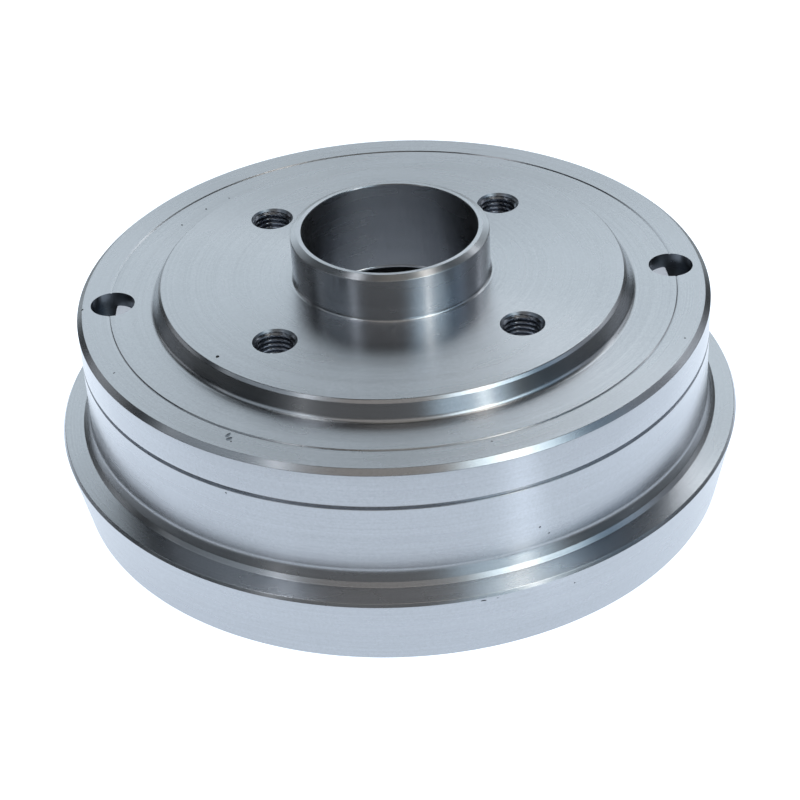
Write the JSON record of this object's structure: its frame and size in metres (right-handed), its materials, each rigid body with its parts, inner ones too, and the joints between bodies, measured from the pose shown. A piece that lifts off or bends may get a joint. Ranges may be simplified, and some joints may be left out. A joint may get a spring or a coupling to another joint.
{
  "type": "brake drum",
  "caption": "Turned cast-iron brake drum made in one piece with its wheel hub: open flanged rim, raised wheel seat with tapped bolt holes, and a bored collar with a bearing seat.",
  "frame": {"origin": "centre of the open rim's plane, the lowest point of the drum's axis", "axes": "+Z along the drum's axis from the open rim to the collar; the access holes lie on +X and -X, and the bolt holes halfway between X and Y"},
  "size_m": [0.2072, 0.207, 0.0804],
  "materials": {
    "turned_iron": "bare grey cast iron, finely turned all over"
  },
  "bodies": {
    "root": {"brake_drum": "turned_iron"}
  },
  "joints": []
}
